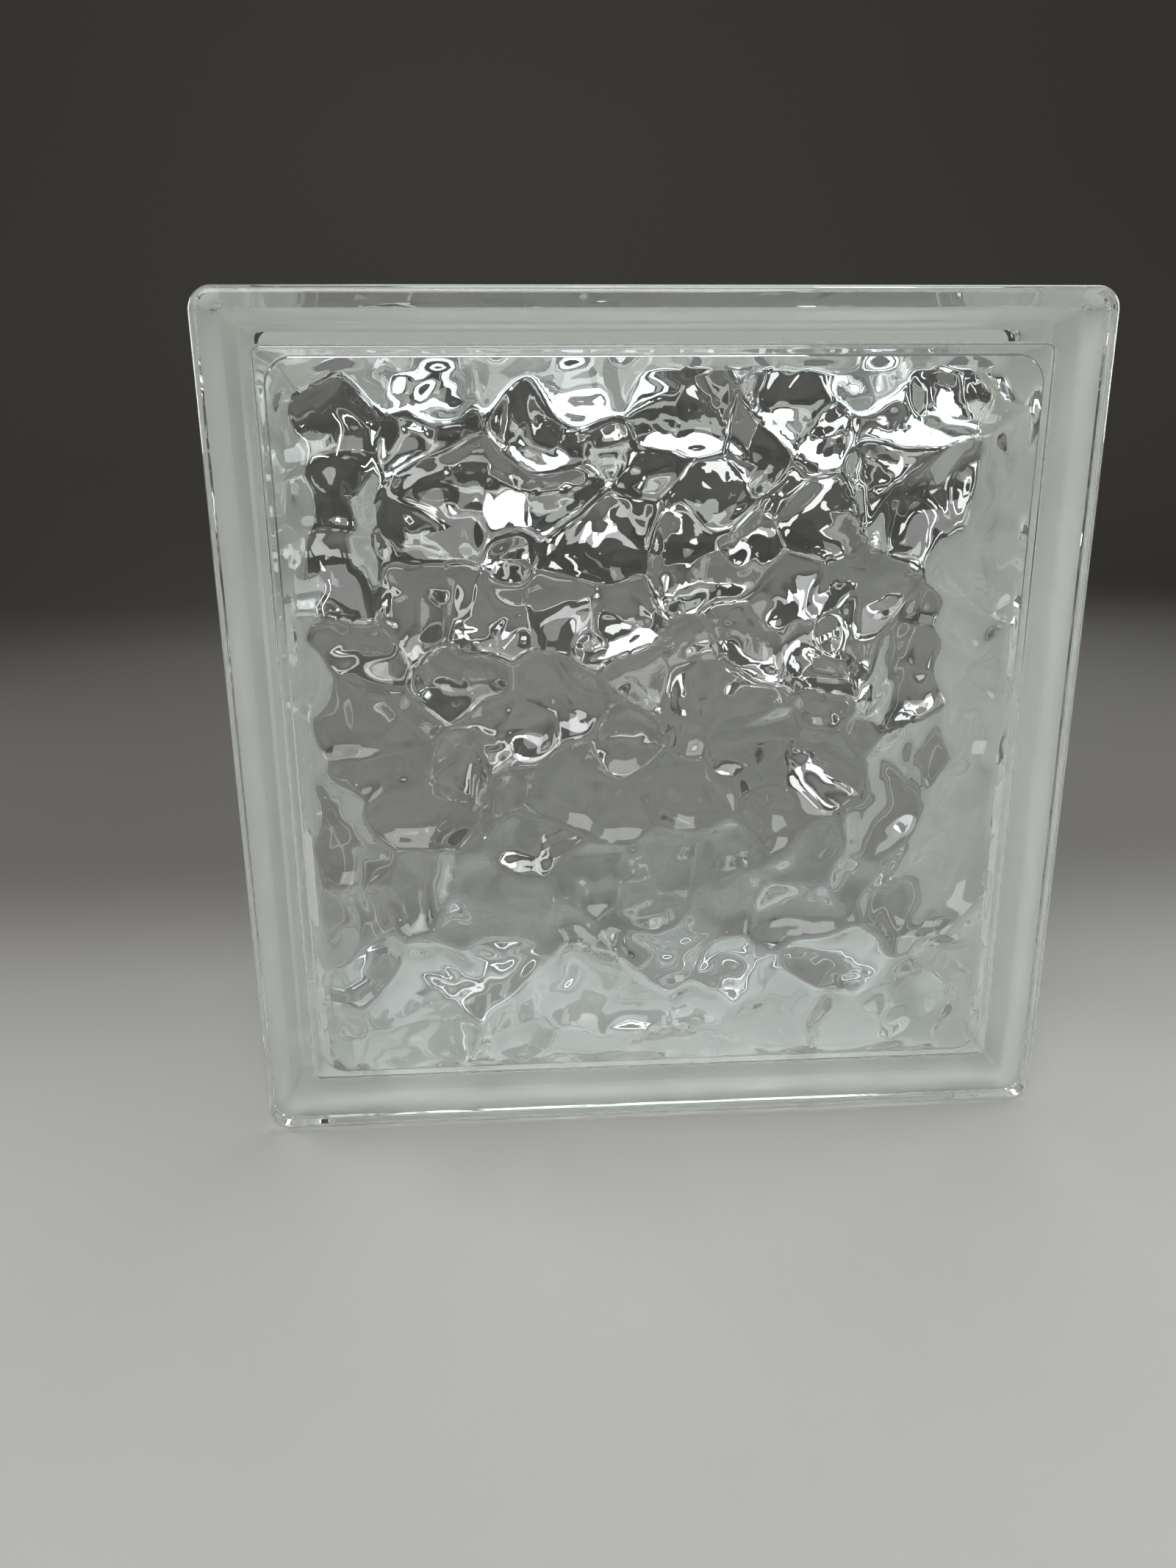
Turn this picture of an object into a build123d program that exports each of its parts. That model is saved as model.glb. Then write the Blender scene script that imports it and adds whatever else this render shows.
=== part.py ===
from build123d import *
from math import atan2, cos, degrees, pi, radians, sin
import os

# Glass block for a wall. Two pressed glass trays of the same mould are fused rim to rim, with
# a sealed hollow between them. The outer faces are flat and smooth. Their inner sides are
# pressed in irregular waves. A channel for mortar runs round the four narrow sides, and a
# white coat lines it. The block stands on its lower side. Millimetres, with +Z up, the front
# face towards -Y and the origin under the middle of the block.

# Outside of the block
face_width = 190.0
face_height = 190.0
block_thickness = 80.0
face_edge_rounding = 1.8

# Mortar channel: a flat land beside each face, a slope, a floor and the bead of the seam
land_width = 8.0
slope_width = 8.5
channel_depth = 3.6
channel_corner_radius = 1.4
land_edge_rounding = 2.5
bead_height = 1.8
bead_width = 6.0
bead_slope = 1.2

# Hollow of one tray, measured from the outer face and from the block's sides
plate_thickness = 8.4
wall_at_plate = 10.2
wall_draft = 2.0
hollow_corner_radius = 2.5
hollow_root_rounding = 1.6

# Pressed waves, let into the plate inside a plain narrow frame
frame_width = 3.1
wave_field_corner_radius = 6.0
wave_edge_step = 0.2
wave_height = 1.2
wave_length = 42.0
wave_wander = 6.0
wave_point_spacing = 5.0

# White coat in the channel
coat_thickness = 0.3
coat_setback = 1.5

half_thickness = block_thickness / 2
slope_end = land_width + slope_width
slope_angle = degrees(atan2(channel_depth, slope_width))
corner_radius = channel_corner_radius + channel_depth
wave_field_inset = wall_at_plate + frame_width


def outline(depth, inset, radius):
    """The block's outline behind the front face, drawn in from the four sides."""
    plane = Plane(
        origin=(0, depth - half_thickness, face_height / 2),
        x_dir=(1, 0, 0),
        z_dir=(0, 1, 0),
    )
    return plane * RectangleRounded(face_width - 2 * inset, face_height - 2 * inset, radius)


def edges_at(solid, depth):
    """The edges that lie flat at one depth behind the front face."""
    place = depth - half_thickness
    return solid.edges().filter_by_position(Axis.Y, place - 0.001, place + 0.001)


def channel_form(outset):
    """Solid bounded by the channel's slope, floor and bead, grown by the outset."""
    slope_start = outline(land_width, -outset, corner_radius + outset)
    slope = extrude(slope_start, slope_width, taper=slope_angle)
    floor_inset = channel_depth - outset
    floor_radius = channel_corner_radius + outset
    floor = extrude(outline(slope_end, floor_inset, floor_radius), half_thickness - slope_end)

    bead_start = half_thickness - bead_width / 2 - outset
    bead = extrude(
        outline(bead_start, floor_inset - bead_height, floor_radius + bead_height),
        half_thickness - bead_start,
    )
    bead = chamfer(edges_at(bead, bead_start), bead_slope)
    return slope + floor + bead


def tray_form():
    """Outer form of one tray, solid right through, with its face edges rounded."""
    land = extrude(outline(0, 0, corner_radius), land_width)
    land = fillet(edges_at(land, 0), face_edge_rounding)
    form = land + channel_form(0)
    return fillet(edges_at(form, land_width), land_edge_rounding)


def hollow_form():
    """The hollow of one tray, widening from the plate to the seam so that the plunger leaves it."""
    plunger_end = outline(plate_thickness, wall_at_plate, hollow_corner_radius)
    hollow = extrude(plunger_end, half_thickness - plate_thickness, taper=-wall_draft)
    return fillet(edges_at(hollow, plate_thickness), hollow_root_rounding)


def wave_level(x, z):
    """Height of the waves at a point of the face, from 0 in a hollow to 1 on a crest."""
    turn = 2 * pi / wave_length
    drift_x = x + wave_wander * sin(0.43 * turn * z + 0.9) + 0.5 * wave_wander * sin(0.71 * turn * x)
    drift_z = z + wave_wander * sin(0.37 * turn * x + 2.1) + 0.5 * wave_wander * cos(0.63 * turn * z)
    total = 0
    for number, (bearing, share) in enumerate([(12, 1.0), (71, 0.9), (133, 1.07)]):
        along = drift_x * cos(radians(bearing)) + drift_z * sin(radians(bearing))
        total += sin(turn * along / share + 1.7 * number)
    return 0.5 + total / 6


def wave_form():
    """The shallow hollow that the waves cut into the plate, inside the plain frame."""
    columns = round(face_width / wave_point_spacing)
    rows = round(face_height / wave_point_spacing)
    deepest = plate_thickness - wave_edge_step
    points = []
    for row in range(rows + 1):
        z = face_height * row / rows
        line = []
        for column in range(columns + 1):
            x = face_width * (column / columns - 0.5)
            depth = deepest - wave_height * wave_level(x, z)
            line.append((x, depth - half_thickness, z))
        points.append(line)
    waves = Face.make_surface_from_array_of_points(points)
    above_waves = extrude(waves, plate_thickness, dir=(0, 1, 0))
    field = extrude(
        outline(0, wave_field_inset, wave_field_corner_radius), plate_thickness + wave_edge_step
    )
    return above_waves & field


def glass_tray():
    """One pressed tray, front one, with its hollow and its waves."""
    return tray_form() - hollow_form() - wave_form()


def edge_coat():
    """Thin lining of the channel, from slope to slope over the seam."""
    skin = channel_form(coat_thickness) - channel_form(0)
    coat_start = land_width + coat_setback
    covered = extrude(outline(coat_start, 0, corner_radius), half_thickness - coat_start)
    front = skin & covered
    return front + front.rotate(Axis.Z, 180)


front_tray = glass_tray()
back_tray = front_tray.rotate(Axis.Z, 180)

os.makedirs("parts", exist_ok=True)
export_step(front_tray, "parts/front_tray.step")
export_step(back_tray, "parts/back_tray.step")
export_step(edge_coat(), "parts/edge_coat.step")
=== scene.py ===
# A glass block for walls: two pressed glass trays fused rim to rim, clear, smooth outside and
# wavy inside, with a white coat brushed on its mortar channel. It stands on a pale floor.
# Lengths of the block are written in millimetres and turned to metres by MM.

from math import cos, exp, log, pi, radians, sin, tan
from random import Random

import bmesh
import bpy
from mathutils import Matrix, Vector, noise


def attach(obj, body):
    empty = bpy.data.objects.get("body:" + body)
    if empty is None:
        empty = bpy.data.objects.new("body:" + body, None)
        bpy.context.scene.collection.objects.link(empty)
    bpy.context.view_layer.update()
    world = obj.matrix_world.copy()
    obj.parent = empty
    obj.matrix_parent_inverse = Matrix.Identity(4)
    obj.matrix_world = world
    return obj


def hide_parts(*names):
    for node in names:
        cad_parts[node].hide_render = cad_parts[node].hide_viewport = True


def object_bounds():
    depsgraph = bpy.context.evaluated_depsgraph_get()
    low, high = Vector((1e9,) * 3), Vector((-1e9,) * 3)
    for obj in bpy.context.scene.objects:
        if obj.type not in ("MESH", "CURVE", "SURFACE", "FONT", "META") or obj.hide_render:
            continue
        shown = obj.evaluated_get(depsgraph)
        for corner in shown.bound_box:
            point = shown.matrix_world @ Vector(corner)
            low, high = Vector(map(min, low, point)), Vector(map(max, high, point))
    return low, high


MM = 0.001
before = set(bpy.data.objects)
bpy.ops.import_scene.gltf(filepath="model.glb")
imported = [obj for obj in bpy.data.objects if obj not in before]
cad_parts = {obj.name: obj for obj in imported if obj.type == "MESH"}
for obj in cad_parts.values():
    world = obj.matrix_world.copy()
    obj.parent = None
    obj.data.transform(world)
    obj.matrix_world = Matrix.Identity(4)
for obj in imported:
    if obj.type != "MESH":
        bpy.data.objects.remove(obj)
cad_low, cad_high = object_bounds()
bpy.ops.object.select_all(action="DESELECT")
scene = bpy.context.scene

# Camera. The photograph was taken from close by, a little above the middle of the block and
# left of it, with a wide lens and the block standing square to it.
photo_height = 2134
sensor_size = 36.0
focal_pixels = 1432.3
camera_place = Vector((-29.0, -268.8, 150.6)) * MM
camera_pitch = 15.70
camera_yaw = 3.14
camera_roll = -0.53

camera_data = bpy.data.cameras.new("camera")
camera_data.sensor_fit = "AUTO"
camera_data.sensor_width = sensor_size
camera_data.lens = sensor_size * focal_pixels / photo_height
camera_data.clip_start = 10 * MM
camera = bpy.data.objects.new("camera", camera_data)
camera.matrix_world = (
    Matrix.Translation(camera_place)
    @ Matrix.Rotation(-radians(camera_yaw), 4, "Z")
    @ Matrix.Rotation(radians(90 - camera_pitch), 4, "X")
    @ Matrix.Rotation(radians(camera_roll), 4, "Z")
)
scene.collection.objects.link(camera)
scene.camera = camera


# Outside of the fused glass. Soda-lime glass, pressed in iron moulds and fire-polished, so its
# faces are flat and its edges soft. It is drawn from one block whose sides are pushed in
# between the two lands to make the mortar channel, with the bead of the seam in the middle.
face_size = (cad_high.z - cad_low.z) / MM
thickness = (cad_high.y - cad_low.y) / MM
half_face = face_size / 2
half_thickness = thickness / 2
channel_depth = 3.6
corner_radius = 5.0
land_width = 8.0
slope_width = 8.5
bead_half_width = 3.0
bead_top_half_width = 1.6
bead_height = 1.8
face_rounding = 1.8
land_rounding = 0.5
root_rounding = 1.6
bead_rounding = 0.7
coat_setback = 1.0

land_plane = half_thickness - land_width
slope_plane = land_plane - slope_width
coat_plane = land_plane - coat_setback

# Points nearer than a hair lie in the same place
HAIR = 0.01 * MM


def pick(kind, wanted):
    """In edit mode, selects only the vertices, edges or faces whose corner points pass."""
    bpy.ops.mesh.select_mode(type=kind)
    bpy.ops.mesh.select_all(action="DESELECT")
    mesh = bmesh.from_edit_mesh(bpy.context.edit_object.data)
    if kind == "VERT":
        for vertex in mesh.verts:
            vertex.select = wanted([vertex.co])
    else:
        for element in mesh.edges if kind == "EDGE" else mesh.faces:
            element.select = wanted([vertex.co for vertex in element.verts])
    mesh.select_flush_mode()
    bmesh.update_edit_mesh(bpy.context.edit_object.data)


def cut_across(place):
    """Cuts a ring round the block at this distance from the seam, in front and behind."""
    for y in (-place, place):
        bpy.ops.mesh.select_all(action="SELECT")
        bpy.ops.mesh.bisect(plane_co=(0, y * MM, 0), plane_no=(0, 1, 0))


def ring_at(place):
    """A test for edges that run round the block at this distance from the seam."""
    return lambda ends: (
        abs(abs(ends[0].y) - place * MM) < HAIR and abs(ends[0].y - ends[1].y) < HAIR
    )


def nearer_than(place):
    """A test for what lies within this distance of the seam."""
    return lambda points: all(abs(point.y) < place * MM + HAIR for point in points)


bpy.ops.mesh.primitive_cube_add(
    size=1,
    location=(0, 0, half_face * MM),
    scale=(face_size * MM, thickness * MM, face_size * MM),
)
bpy.ops.object.transform_apply(location=True, rotation=True, scale=True)
fused_glass = bpy.context.object
fused_glass.name = "fused_glass"
bpy.ops.object.mode_set(mode="EDIT")
pick("EDGE", lambda ends: abs(ends[0].y - ends[1].y) > HAIR)
bpy.ops.mesh.bevel(offset=corner_radius * MM, segments=10, affect="EDGES")
for place in (land_plane, slope_plane, bead_half_width, bead_top_half_width):
    cut_across(place)
pick("VERT", nearer_than(slope_plane))
bpy.ops.transform.shrink_fatten(value=-channel_depth * MM, use_even_offset=True)
pick("VERT", nearer_than(bead_top_half_width))
bpy.ops.transform.shrink_fatten(value=bead_height * MM, use_even_offset=True)
cut_across(coat_plane)
for place, rounding, steps in (
    (half_thickness, face_rounding, 6),
    (land_plane, land_rounding, 4),
    (slope_plane, root_rounding, 4),
    (bead_half_width, bead_rounding, 3),
    (bead_top_half_width, bead_rounding, 3),
):
    pick("EDGE", ring_at(place))
    bpy.ops.mesh.bevel(offset=rounding * MM, segments=steps, affect="EDGES")


# Loose patch. The coat has come away from the glass in one long narrow patch on the top of the
# front slope, with slightly wavy edges. Its outline is cut into the slope's flat, so that the
# surface stays as it is.
loose_start = 12.0
loose_end = 15.0
loose_half_length = 78.0
loose_off_centre = 2.0
loose_cuts = 60
loose_least = 0.02
loose_waver = 0.25
loose_waves = 4
slack = 0.1

slope_rise = channel_depth / slope_width
loose_middle = (loose_start + loose_end) / 2 - half_thickness


def on_top_slope(point):
    """True on the flat of the front tray's slope, along the top of the block."""
    above_floor = point.z > (face_size - channel_depth - 5 * slack) * MM
    nearest, furthest = slope_plane + root_rounding - 2 * slack, coat_plane + slack
    return above_floor and -furthest * MM < point.y < -nearest * MM


def on_loose_edge(point):
    """True on the two lines that bound the loose patch."""
    depth = half_thickness + point.y / MM
    return min(abs(depth - loose_start), abs(depth - loose_end)) < HAIR / MM


def spans(ends):
    """True for an edge that runs the length of the block's side."""
    return (ends[0] - ends[1]).length > half_face * MM


for depth in (loose_start, loose_end):
    pick("FACE", lambda points: all(on_top_slope(point) for point in points))
    bpy.ops.mesh.bisect(plane_co=(0, (depth - half_thickness) * MM, 0), plane_no=(0, 1, 0))
pick("EDGE", lambda ends: all(on_top_slope(p) and on_loose_edge(p) for p in ends) and spans(ends))
bpy.ops.mesh.subdivide(number_cuts=loose_cuts)
bpy.ops.object.mode_set(mode="OBJECT")
for vertex in fused_glass.data.vertices:
    if on_top_slope(vertex.co) and on_loose_edge(vertex.co):
        along = (vertex.co.x / MM - loose_off_centre) / loose_half_length
        waver = 1 + loose_waver * noise.noise(Vector((along * loose_waves, 0, 0)))
        slide = (max(1 - along**4, loose_least) * waver - 1) * (vertex.co.y / MM - loose_middle)
        vertex.co.y += slide * MM
        vertex.co.z -= slide * slope_rise * MM
bpy.ops.object.mode_set(mode="EDIT")
bpy.ops.mesh.select_all(action="SELECT")
bpy.ops.mesh.normals_make_consistent(inside=False)
bpy.ops.object.mode_set(mode="OBJECT")


# Hollow between the trays. Each tray is pressed by a plunger with a wavy end, which leaves a
# plain frame, a soft lip, drafted walls and rounded roots. The back tray is the front one
# turned half round. The hollow is drawn as a fine sheet with rims drawn up from its edge, in
# squares of one unit, and every ring is then set to its real place.
plate_thickness = 8.4
wall_at_plate = 10.2
wall_draft = 2.0
hollow_corner_radius = 2.5
root_radius = 1.6
root_corner_radius = 1.2
root_steps = 6
frame_width = 3.1
wave_field_corner_radius = 6.0
wave_edge_step = 0.2
lip_height = 1.3
lip_run = 2.6
wave_height = 1.2
wave_length = 42.0
wave_wander = 6.0
cell_size = 14.0
cell_height = 4.8
cell_warp = 7.0
warp_share = 0.8
cell_softness = 16
ripple_size = 6.5
ripple_height = 0.55
sheet_squares = 170
corner_share = 0.08
rounding_start = 0.7
even_share = 0.6

noise.seed_set(5)
wall_half = half_face - wall_at_plate
field_half = wall_half - frame_width
seam_widening = (half_thickness - plate_thickness) * tan(radians(wall_draft))


def wave_level(x, z):
    """Height of the long waves at a point of the face, from 0 in a hollow to 1 on a crest."""
    turn = 2 * pi / wave_length
    drift_x = x + wave_wander * sin(0.43 * turn * z + 0.9) + 0.5 * wave_wander * sin(0.71 * turn * x)
    drift_z = z + wave_wander * sin(0.37 * turn * x + 2.1) + 0.5 * wave_wander * cos(0.63 * turn * z)
    total = 0
    for number, (bearing, share) in enumerate([(12, 1.0), (71, 0.9), (133, 1.07)]):
        along = drift_x * cos(radians(bearing)) + drift_z * sin(radians(bearing))
        total += sin(turn * along / share + 1.7 * number)
    return 0.5 + total / 6


def cell_level(x, z, size):
    """Height of the cells between creases, lowest at a cell's middle and rising to its edge."""
    place = Vector((x, z, 0)) / size
    bend = noise.noise_vector(place * warp_share) * (cell_warp / cell_size)
    nearest = noise.voronoi(place + bend)[0]
    blended = sum(exp(-cell_softness * distance * distance) for distance in nearest)
    return -log(blended) / cell_softness


def relief_depth(x, z):
    """Depth of the wavy surface behind the outer face."""
    deepest = plate_thickness - wave_edge_step
    long_waves = wave_height * wave_level(x, z)
    cells = cell_height * cell_level(x, z, cell_size)
    ripples = ripple_height * cell_level(x, z, ripple_size)
    return deepest - long_waves - cells - ripples


def on_outline(across, up, half_width, radius):
    """Moves a point of a square's edge, given from -1 to 1, to a square with round corners."""
    flat = 1 - corner_share
    turned = abs(across) < abs(up)
    long_way, short_way = (up, across) if turned else (across, up)
    if abs(short_way) <= flat:
        out, along = half_width, abs(short_way) / flat * (half_width - radius)
    else:
        angle = (abs(short_way) - flat) / corner_share * pi / 4
        out = half_width - radius + radius * cos(angle)
        along = half_width - radius + radius * sin(angle)
    out = out if long_way > 0 else -out
    along = along if short_way > 0 else -along
    return (along, out) if turned else (out, along)


def smooth(share):
    """Eases from 0 to 1."""
    share = min(max(share, 0), 1)
    return share * share * (3 - 2 * share)


# Rings drawn up from the wavy sheet: depth behind the face, half width and corner radius. The
# first ones rise over the lip, given by the share of it that is left, the way out and the
# rounding added. The next ones go round the root, and the last one is the seam.
hollow_rings = []
for left, out, rounder in [(0.75, 0.1, 0.1), (0.25, 0.35, 0.2), (0.06, 0.6, 0.4), (0.0, 1.0, 0.5)]:
    depth = plate_thickness - left * lip_height
    hollow_rings.append((depth, field_half + out, wave_field_corner_radius + rounder))
for step in range(root_steps + 1):
    angle = radians(90 - wall_draft) * step / root_steps
    depth = plate_thickness + root_radius * (1 - cos(angle))
    half_width = wall_half - root_radius + root_radius * sin(angle)
    radius = hollow_corner_radius
    radius -= (hollow_corner_radius - root_corner_radius) * (1 - step / root_steps)
    hollow_rings.append((depth, half_width, radius))
hollow_rings.append(
    (half_thickness, wall_half + seam_widening, hollow_corner_radius + seam_widening)
)


def on_rim(number):
    """A test for edges on the rim of the sheet once this many rings are drawn up."""
    return lambda ends: all(
        abs(max(abs(p.x), abs(p.y)) - 1) < 1e-4 and abs(p.z - number) < 1e-4 for p in ends
    )


bpy.ops.mesh.primitive_grid_add(
    x_subdivisions=sheet_squares, y_subdivisions=sheet_squares, size=2
)
hollow = bpy.context.object
hollow.name = "hollow"
bpy.ops.object.mode_set(mode="EDIT")
for number in range(len(hollow_rings)):
    pick("EDGE", on_rim(number))
    bpy.ops.mesh.extrude_edges_move(TRANSFORM_OT_translate={"value": (0, 0, 1)})
bpy.ops.object.mode_set(mode="OBJECT")
for vertex in hollow.data.vertices:
    across, up, ring = vertex.co.x, vertex.co.y, round(vertex.co.z)
    if ring:
        depth, half_width, radius = hollow_rings[ring - 1]
        x, z = on_outline(across, up, half_width, radius)
    else:
        share = max(abs(across), abs(up))
        radius = wave_field_corner_radius * smooth((share - rounding_start) / (1 - rounding_start))
        if share:
            x, z = on_outline(across / share, up / share, share * field_half, radius * share)
            # Inner rings keep their even spacing and take the round corners little by little
            ease = smooth((share - even_share) / (1 - even_share))
            x += (across * field_half - x) * (1 - ease)
            z += (up * field_half - z) * (1 - ease)
        else:
            x, z = 0, 0
        # The waves run out on a lip of even height just inside the frame
        lip = smooth(1 - (1 - share) * field_half / lip_run)
        depth = relief_depth(x, z + half_face) * (1 - lip) + (plate_thickness - lip_height) * lip
    vertex.co = Vector((x, depth - half_thickness, z + half_face)) * MM

bpy.ops.object.select_all(action="DESELECT")
hollow.select_set(True)
bpy.context.view_layer.objects.active = hollow
bpy.ops.object.duplicate()
bpy.ops.transform.rotate(value=pi, orient_axis="Z", center_override=(0, 0, 0))
bpy.ops.object.transform_apply(location=True, rotation=True, scale=True)
hollow.select_set(True)
bpy.context.view_layer.objects.active = hollow
bpy.ops.object.join()
bpy.ops.object.mode_set(mode="EDIT")
bpy.ops.mesh.select_all(action="SELECT")
bpy.ops.mesh.remove_doubles(threshold=2 * HAIR)
bpy.ops.mesh.normals_make_consistent(inside=True)
bpy.ops.object.mode_set(mode="OBJECT")

bpy.ops.object.select_all(action="DESELECT")
hollow.select_set(True)
fused_glass.select_set(True)
bpy.context.view_layer.objects.active = fused_glass
bpy.ops.object.join()
bpy.ops.object.shade_smooth_by_angle(angle=radians(32))
weighted = fused_glass.modifiers.new("weighted", "WEIGHTED_NORMAL")
weighted.keep_sharp = True
bpy.ops.object.modifier_apply(modifier=weighted.name)


# Seeds: fine gas bubbles that the melt keeps when it is pressed. They are scattered in the
# front plate, between its outer face and the waves.
seed_count = 26
seed_radii = (0.12, 0.3)
seed_depths = (1.5, 4.0)

chance = Random(7)
bpy.ops.object.select_all(action="DESELECT")
seeds = []
for number in range(seed_count):
    x, z = (chance.uniform(-field_half, field_half) for axis in "xz")
    depth = chance.uniform(*seed_depths)
    bpy.ops.mesh.primitive_ico_sphere_add(
        subdivisions=2,
        radius=chance.uniform(*seed_radii) * MM,
        location=(x * MM, (depth - half_thickness) * MM, (z + half_face) * MM),
    )
    seeds.append(bpy.context.object)
for seed in seeds:
    seed.select_set(True)
bpy.ops.object.join()
bpy.ops.object.transform_apply(location=True, rotation=True, scale=True)
bpy.ops.object.mode_set(mode="EDIT")
bpy.ops.mesh.select_all(action="SELECT")
bpy.ops.mesh.normals_make_consistent(inside=True)
bpy.ops.mesh.faces_shade_smooth()
bpy.ops.object.mode_set(mode="OBJECT")
fused_glass.select_set(True)
bpy.context.view_layer.objects.active = fused_glass
bpy.ops.object.join()


# Finish of the glass. Clear soda-lime glass, pressed and fire-polished: it is mirror smooth,
# nearly colourless with a trace of green, and bends light into creases and bright fragments.
glass_cast = "#fcfefd"


def linear(code):
    """Linear colour with alpha from an sRGB hex code."""
    shares = [int(code[i : i + 2], 16) / 255 for i in (1, 3, 5)]
    return (*[s / 12.92 if s <= 0.04045 else ((s + 0.055) / 1.055) ** 2.4 for s in shares], 1)


def add(tree, kind, settings=None, **links):
    """Adds a node with its settings. Its inputs go by name, or as i0 and i1 by number."""
    node = tree.nodes.new(kind)
    for name, value in (settings or {}).items():
        setattr(node, name, value)
    for name, value in links.items():
        numbered = name[0] == "i" and name[1:].isdigit()
        socket = node.inputs[int(name[1:]) if numbered else name.replace("_", " ")]
        if isinstance(value, bpy.types.NodeSocket):
            tree.links.new(value, socket)
        else:
            socket.default_value = value
    return node


def new_material(name):
    """A material with an empty node tree and its output node."""
    material = bpy.data.materials.new(name)
    material.use_nodes = True
    material.node_tree.nodes.clear()
    return material, material.node_tree, material.node_tree.nodes.new("ShaderNodeOutputMaterial")


soda_lime, tree, output = new_material("soda_lime_glass")
surface = add(
    tree,
    "ShaderNodeBsdfPrincipled",
    Base_Color=linear(glass_cast),
    Roughness=0.0,
    IOR=1.52,
    Transmission_Weight=1.0,
)
tree.links.new(surface.outputs[0], output.inputs["Surface"])

# Where the coat grips the glass no air lies between them, so the glass has no surface there
# and light goes straight on into the coat
gripped, tree, output = new_material("glass_gripped_by_coat")
clear = add(tree, "ShaderNodeBsdfTransparent", Color=(1, 1, 1, 1))
tree.links.new(clear.outputs[0], output.inputs["Surface"])

outside_reach = half_face - channel_depth - 1


def on_coated_side(points):
    """True for the outer faces of the channel, between the two edges of the coat."""
    inside_coat = all(abs(point.y) < coat_plane * MM + HAIR for point in points)
    reach = min(max(abs(point.x), abs(point.z - half_face * MM)) for point in points)
    return inside_coat and reach > outside_reach * MM


def in_loose_patch(points, middle):
    """True for a face of the front slope that lies inside the loose patch."""
    from_middle = abs(middle.y / MM - loose_middle)
    half_width = (loose_end - loose_start) / 2
    return all(on_top_slope(point) for point in points) and from_middle < half_width - HAIR / MM


fused_glass.data.materials.clear()
fused_glass.data.materials.append(soda_lime)
fused_glass.data.materials.append(gripped)
for face in fused_glass.data.polygons:
    points = [fused_glass.data.vertices[number].co for number in face.vertices]
    grips = on_coated_side(points) and not in_loose_patch(points, face.center)
    face.material_index = 1 if grips else 0
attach(fused_glass, "root")
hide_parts("front_tray", "back_tray")


# White edge coat: a polymer dispersion brushed on the mortar channel after the trays are fused,
# thin enough to let light through. It is the glass's own coated skin, copied and thickened.
coat_gap = 0.01
coat_thickness = 0.28
coat_cuts = 48

bpy.ops.object.select_all(action="DESELECT")
fused_glass.select_set(True)
bpy.context.view_layer.objects.active = fused_glass
bpy.ops.object.mode_set(mode="EDIT")
pick("FACE", on_coated_side)
bpy.ops.mesh.duplicate()
bpy.ops.mesh.separate(type="SELECTED")
bpy.ops.object.mode_set(mode="OBJECT")
brushed_coat = next(piece for piece in bpy.context.selected_objects if piece != fused_glass)
brushed_coat.name = "brushed_coat"
fused_glass.select_set(False)
bpy.context.view_layer.objects.active = brushed_coat
bpy.ops.object.mode_set(mode="EDIT")
pick("EDGE", spans)
bpy.ops.mesh.subdivide(number_cuts=coat_cuts)
bpy.ops.mesh.select_all(action="SELECT")
bpy.ops.transform.shrink_fatten(value=coat_gap * MM, use_even_offset=True)
bpy.ops.object.mode_set(mode="OBJECT")
skin = brushed_coat.modifiers.new("skin", "SOLIDIFY")
skin.thickness = coat_thickness * MM
skin.offset = 1.0
skin.use_even_offset = True
bpy.ops.object.modifier_apply(modifier=skin.name)

# Finish of the coat: matt white, a little sandy and cloudy. It lets part of the light through,
# and more of it near its edge, where the brush left it thin.
coat_white = "#f8f8f5"
coat_shade = "#eceeec"
grain_size = 0.5
grain_height = 0.2
cloud_size = 14.0
light_through = 0.35
edge_light_through = 0.75
edge_run = 4.0

white_coat, tree, output = new_material("white_polymer_coat")
place = add(tree, "ShaderNodeTexCoord").outputs["Object"]
grain = add(tree, "ShaderNodeTexNoise", Vector=place, Scale=1000 / grain_size, Detail=2.0)
cloud = add(tree, "ShaderNodeTexNoise", Vector=place, Scale=1000 / cloud_size, Detail=3.0)
tone = add(
    tree,
    "ShaderNodeMix",
    {"data_type": "RGBA"},
    Factor=cloud.outputs["Fac"],
    i6=linear(coat_white),
    i7=linear(coat_shade),
)
rough = add(
    tree,
    "ShaderNodeBump",
    Height=grain.outputs["Fac"],
    Strength=0.2,
    Distance=grain_height * MM,
)
surface = add(
    tree,
    "ShaderNodeBsdfPrincipled",
    Base_Color=tone.outputs[2],
    Roughness=0.32,
    Normal=rough.outputs[0],
)
through = add(tree, "ShaderNodeBsdfTranslucent", Color=tone.outputs[2])
across = add(tree, "ShaderNodeSeparateXYZ", Vector=place).outputs["Y"]
from_seam = add(tree, "ShaderNodeMath", {"operation": "ABSOLUTE"}, i0=across)
share = add(
    tree,
    "ShaderNodeMapRange",
    Value=from_seam.outputs[0],
    From_Min=(coat_plane - edge_run) * MM,
    From_Max=coat_plane * MM,
    To_Min=light_through,
    To_Max=edge_light_through,
)
both = add(
    tree,
    "ShaderNodeMixShader",
    i0=share.outputs[0],
    i1=surface.outputs[0],
    i2=through.outputs[0],
)
tree.links.new(both.outputs[0], output.inputs["Surface"])
brushed_coat.data.materials.clear()
brushed_coat.data.materials.append(white_coat)

# The coat was copied from the glass, so it first forgets what the glass was told
brushed_coat.parent = None
for name in [name for name in brushed_coat.keys() if name.startswith("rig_")]:
    del brushed_coat[name]
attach(brushed_coat, "root")
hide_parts("edge_coat")


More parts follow.
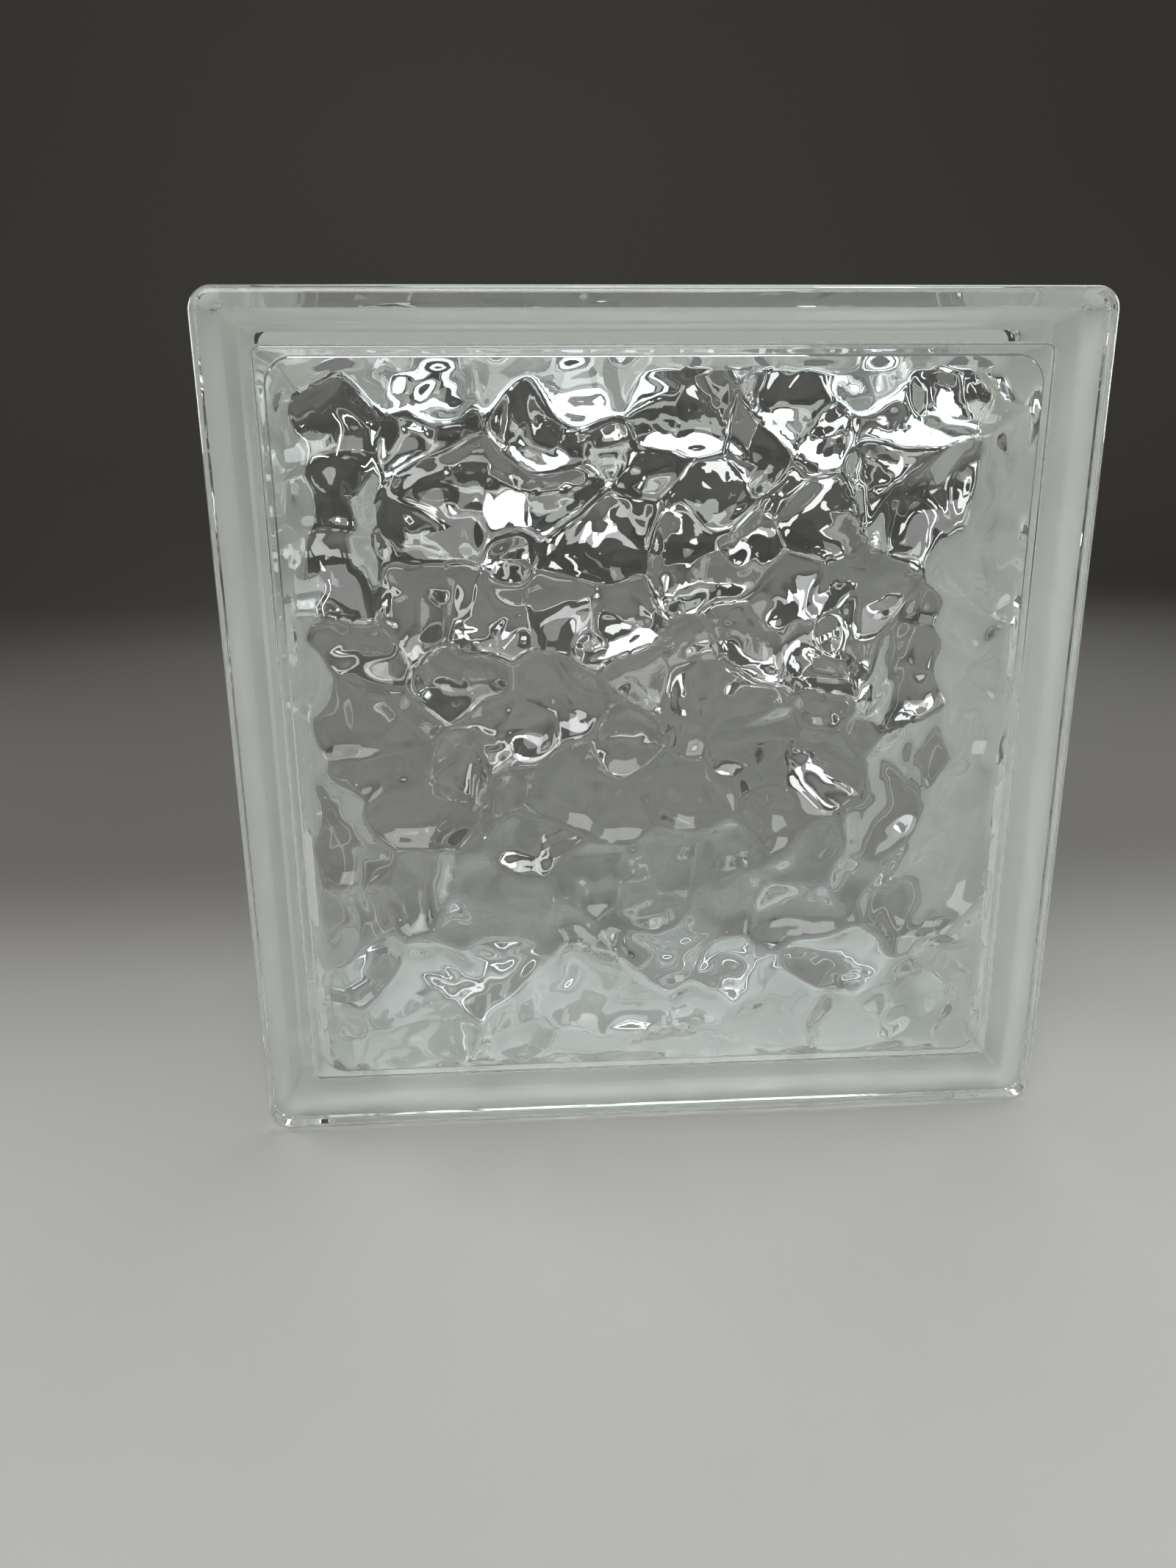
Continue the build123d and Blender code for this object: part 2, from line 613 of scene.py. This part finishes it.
# Studio: a plain floor, pale in front of the block, that curves up into a backdrop. Just behind the
# block it turns dark, painted shade for the shade round the block that shows through the glass, so
# that clear glass shows both light and dark. It lies a hair under the block, because two faces in
# one plane draw a black line. Its places and the lamps' are in metres.
floor_colour = "#b6b5b1"
# The backdrop's own dark colour, also used as painted shade on the floor just behind the block
backdrop_and_painted_shade_colour = "#625e59"
floor_drop = 0.05 * MM
painted_shade_start = -0.09
painted_shade_end = 0.17
floor_half_width = 6.0
floor_front = -6.0
floor_back = 2.0
backdrop_height = 2.5
fold_radius = 0.8

bpy.ops.object.select_all(action="DESELECT")
bpy.ops.mesh.primitive_plane_add(size=2, location=(0, 0, 0))
floor = bpy.context.object
floor.name = "floor"
bpy.ops.object.mode_set(mode="EDIT")
pick("VERT", lambda points: points[0].y > 0)
bpy.ops.mesh.select_mode(type="EDGE")
bpy.ops.mesh.extrude_edges_move(TRANSFORM_OT_translate={"value": (0, 0, backdrop_height)})
pick("EDGE", lambda ends: all(p.y > 0.9 and p.z < 0.1 for p in ends))
bpy.ops.object.mode_set(mode="OBJECT")
for vertex in floor.data.vertices:
    vertex.co.x *= floor_half_width
    vertex.co.y = floor_front if vertex.co.y < 0 else floor_back
    vertex.co.z -= floor_drop
bpy.ops.object.mode_set(mode="EDIT")
bpy.ops.mesh.bevel(offset=fold_radius, segments=16, affect="EDGES")
bpy.ops.object.mode_set(mode="OBJECT")
bpy.ops.object.shade_smooth()

pale, tree, output = new_material("floor_with_painted_shade")
place = add(tree, "ShaderNodeTexCoord").outputs["Object"]
distance = add(tree, "ShaderNodeSeparateXYZ", Vector=place).outputs["Y"]
# Painted shade: the floor turns from its pale colour to the dark backdrop colour just behind the
# block
painted_shade_blend = add(
    tree,
    "ShaderNodeMapRange",
    {"interpolation_type": "SMOOTHSTEP"},
    Value=distance,
    From_Min=painted_shade_start,
    From_Max=painted_shade_end,
)
tone = add(
    tree,
    "ShaderNodeMix",
    {"data_type": "RGBA"},
    Factor=painted_shade_blend.outputs[0],
    i6=linear(floor_colour),
    i7=linear(backdrop_and_painted_shade_colour),
)
surface = add(tree, "ShaderNodeBsdfPrincipled", Base_Color=tone.outputs[2], Roughness=0.6)
tree.links.new(surface.outputs[0], output.inputs["Surface"])
floor.data.materials.append(pale)

# Lamps, seen only in the glass. The key and the ceiling lamp light the block from behind and
# from in front. The high strip is level with the clear line above the hollow, the low one
# draws bright rims, and the glints make the bright fragments in the waves.
block_middle = (0, 0, half_face * MM)
daylight = linear("#f0faff")[:3]
strip_tint = (0.945, 1.0, 0.907)
lamp_row = 0.95
high_strip = 0.312
low_strip = 0.055
glints = [
    (0.34, 0.43, 0.104, 0.050),
    (0.05, 0.40, 0.065, 0.014),
    (-0.35, 0.42, 0.078, 0.024),
    (0.31, 0.10, 0.092, 0.028),
    (0.20, 0.19, 0.066, 0.014),
    (0.44, 0.17, 0.080, 0.020),
    (-0.16, 0.14, 0.060, 0.010),
    (0.10, 0.06, 0.060, 0.010),
]


def soft_lamp(name, place, size, power, target=block_middle, colour=(1, 1, 1), spread=180):
    """An area lamp that points at its target."""
    data = bpy.data.lights.new(name, "AREA")
    data.shape = "RECTANGLE"
    data.size, data.size_y = size
    data.energy = power
    data.color = colour
    data.spread = radians(spread)
    lamp = bpy.data.objects.new(name, data)
    lamp.location = place
    lamp.visible_camera = False
    lamp.rotation_mode = "QUATERNION"
    lamp.rotation_quaternion = (Vector(target) - Vector(place)).to_track_quat("-Z", "Y")
    scene.collection.objects.link(lamp)


soft_lamp("key", (0.25, 0.80, 0.84), size=(1.1, 1.1), power=5.2, colour=daylight)
soft_lamp("ceiling", (-0.15, -0.9, 0.85), size=(0.9, 0.9), power=11.5)
soft_lamp("left", (-0.75, 0.25, 0.35), size=(0.35, 0.35), power=2.0)
soft_lamp("right", (0.75, 0.15, 0.35), size=(0.35, 0.35), power=1.8)
soft_lamp(
    "strip",
    (0, lamp_row, high_strip),
    size=(2.4, 0.036),
    power=0.10,
    target=(0, 0, high_strip),
    colour=strip_tint,
)
soft_lamp(
    "low_strip",
    (0, lamp_row, low_strip),
    size=(2.0, 0.05),
    power=0.018,
    target=(0, 0, low_strip),
    spread=60,
)
for number, (across, up, size, power) in enumerate(glints):
    soft_lamp(f"glint_{number}", (across, lamp_row, up), size=(size, size), power=power)

world = bpy.data.worlds.new("world")
scene.world = world
world.use_nodes = True
surroundings = world.node_tree.nodes["Background"]
surroundings.inputs["Color"].default_value = (1, 1, 1, 1)
surroundings.inputs["Strength"].default_value = 0.18
scene.view_settings.view_transform = "Standard"

# Light bounces many times in the hollow, and stays sharp as it passes through the glass
scene.cycles.max_bounces = 20
scene.cycles.diffuse_bounces = 6
scene.cycles.glossy_bounces = 10
scene.cycles.transmission_bounces = 14
scene.cycles.transparent_max_bounces = 16
scene.cycles.blur_glossy = 0
